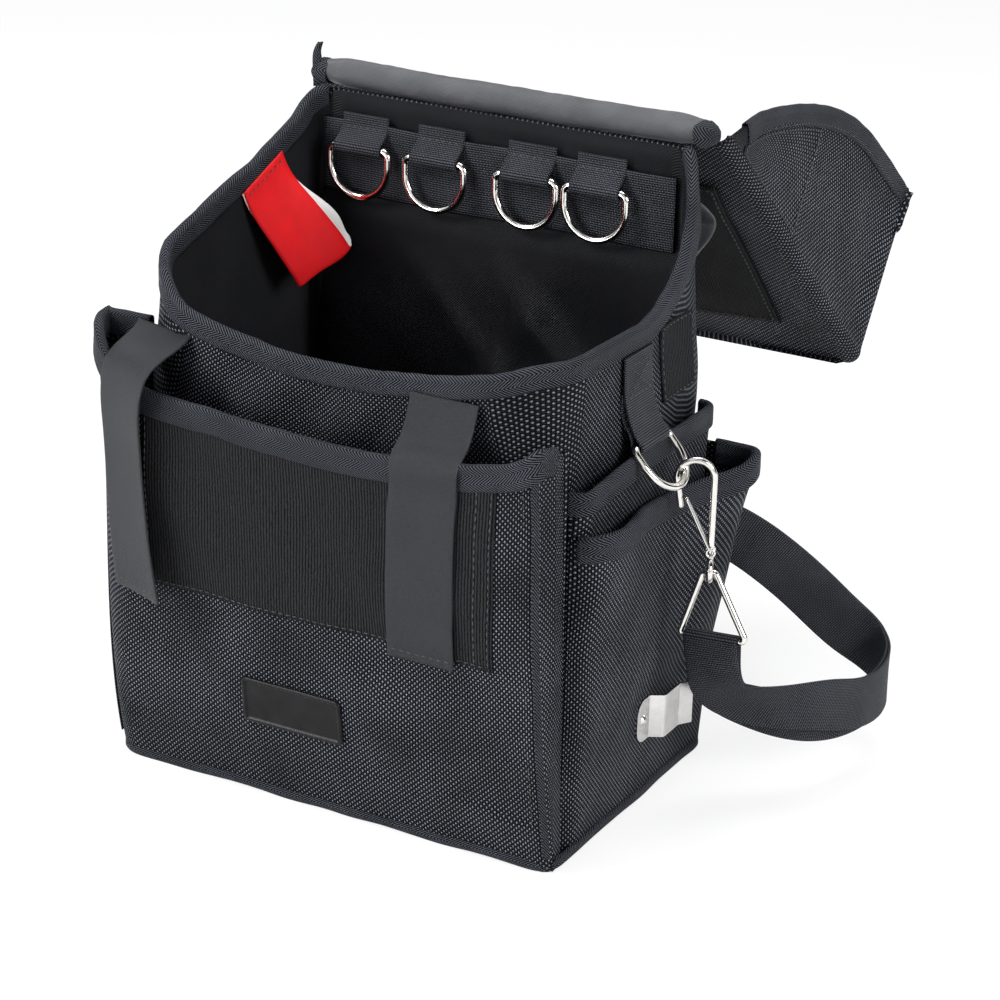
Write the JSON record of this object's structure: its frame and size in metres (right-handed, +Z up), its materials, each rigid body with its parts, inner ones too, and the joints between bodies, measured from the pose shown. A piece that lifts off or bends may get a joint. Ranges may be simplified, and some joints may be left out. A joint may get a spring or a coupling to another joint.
{
  "type": "electrician tool pouch",
  "caption": "Open-topped fabric tool pouch with a fold-back hood, front and side pockets, inner tether rings, a tape clip and a hooked shoulder strap.",
  "frame": {"origin": "centre of the bag's footprint on the floor", "axes": "+X to the right along the front, +Y towards the back wall and the folded-back hood, +Z up"},
  "size_m": [0.4368, 0.4322, 0.347],
  "materials": {
    "outer_fabric": "coarse woven polyester, matt",
    "binding_tape": "herringbone tape, matt",
    "lining_fabric": "fine twill, matt",
    "board_plastic": "matt",
    "loop_pile": "short loop pile",
    "rubber_patch": "moulded, satin",
    "hook_tape": "fine hook tape, smooth side out",
    "webbing": "ribbed webbing",
    "satin_fabric": "smooth coated nylon, satin",
    "label_cloth": "woven ribbon, satin",
    "nickel_wire": "polished nickel",
    "spring_wire": "polished spring steel",
    "plated_steel": "polished plate",
    "slider_plastic": "moulded, satin"
  },
  "bodies": {
    "bag": {"main_shell": "outer_fabric", "base_board": "board_plastic", "inner_lining": "lining_fabric", "rim_binding": "binding_tape", "front_pocket": "outer_fabric", "front_pocket_binding": "binding_tape", "loop_panel": "loop_pile", "name_plate": "rubber_patch", "ring_band": "webbing", "ring_loops": "webbing", "hinge_roll": "satin_fabric", "tape_clip": "plated_steel", "clip_rivet": "plated_steel", "care_label": "label_cloth", "hook_strap_left": "hook_tape", "flat_pocket_left": "outer_fabric", "flat_pocket_binding_left": "binding_tape", "side_pocket_left": "outer_fabric", "side_pocket_binding_left": "binding_tape", "side_patch_left": "loop_pile", "ring_tab_left": "webbing", "back_loop_left": "webbing", "hook_strap_right": "hook_tape", "flat_pocket_right": "outer_fabric", "flat_pocket_binding_right": "binding_tape", "side_pocket_right": "outer_fabric", "side_pocket_binding_right": "binding_tape", "side_patch_right": "loop_pile", "ring_tab_right": "webbing", "back_loop_right": "webbing"},
    "lid": {"lid_hood": "outer_fabric", "lid_binding": "binding_tape", "lid_loop_patch": "loop_pile"},
    "strap": {"shoulder_strap": "webbing", "strap_slider": "slider_plastic", "strap_ring_left": "nickel_wire", "strap_ring_right": "nickel_wire", "snap_hook_left": "nickel_wire", "snap_hook_right": "nickel_wire"},
    "inner_ring_1": {"inner_ring_1": "nickel_wire"},
    "inner_ring_2": {"inner_ring_2": "nickel_wire"},
    "inner_ring_3": {"inner_ring_3": "nickel_wire"},
    "inner_ring_4": {"inner_ring_4": "nickel_wire"},
    "side_ring_left": {"side_ring_left": "nickel_wire"},
    "side_ring_right": {"side_ring_right": "nickel_wire"},
    "gate_left": {"hook_gate_left": "spring_wire"},
    "gate_right": {"hook_gate_right": "spring_wire"}
  },
  "joints": [
    {"name": "lid_hinge", "type": "hinge", "parent": "bag", "child": "lid", "pos_m": [0, 0.087, 0.339], "axis": [1, 0, 0], "range_deg": [0, 215]},
    {"name": "inner_ring_1_swing", "type": "hinge", "parent": "bag", "child": "inner_ring_1", "pos_m": [-0.082, 0.0697, 0.304], "axis": [-1, 0, 0], "range_deg": [-8, 150]},
    {"name": "inner_ring_2_swing", "type": "hinge", "parent": "bag", "child": "inner_ring_2", "pos_m": [-0.035, 0.0697, 0.304], "axis": [-1, 0, 0], "range_deg": [-8, 150]},
    {"name": "inner_ring_3_swing", "type": "hinge", "parent": "bag", "child": "inner_ring_3", "pos_m": [0.02, 0.0697, 0.304], "axis": [-1, 0, 0], "range_deg": [-8, 150]},
    {"name": "inner_ring_4_swing", "type": "hinge", "parent": "bag", "child": "inner_ring_4", "pos_m": [0.061, 0.0697, 0.304], "axis": [-1, 0, 0], "range_deg": [-8, 150]},
    {"name": "side_ring_left_swing", "type": "hinge", "parent": "bag", "child": "side_ring_left", "pos_m": [-0.133, -0.001, 0.204], "axis": [0, 1, 0], "range_deg": [0, 6]},
    {"name": "side_ring_right_swing", "type": "hinge", "parent": "bag", "child": "side_ring_right", "pos_m": [0.133, -0.001, 0.204], "axis": [0, -1, 0], "range_deg": [0, 6]},
    {"name": "strap_swing", "type": "hinge", "parent": "bag", "child": "strap", "pos_m": [0, 0.009, 0.18591], "axis": [1, 0, 0], "range_deg": [0, 15]},
    {"name": "gate_left_pivot", "type": "hinge", "parent": "strap", "child": "gate_left", "pos_m": [-0.1618, 0.0151, 0.14473], "axis": [-0.4226, -0.9063, 0], "range_deg": [0, 10], "stiffness_Nm_per_rad": 0.05},
    {"name": "gate_right_pivot", "type": "hinge", "parent": "strap", "child": "gate_right", "pos_m": [0.1618, 0.0151, 0.14473], "axis": [-0.4226, 0.9063, 0], "range_deg": [0, 10], "stiffness_Nm_per_rad": 0.05}
  ]
}
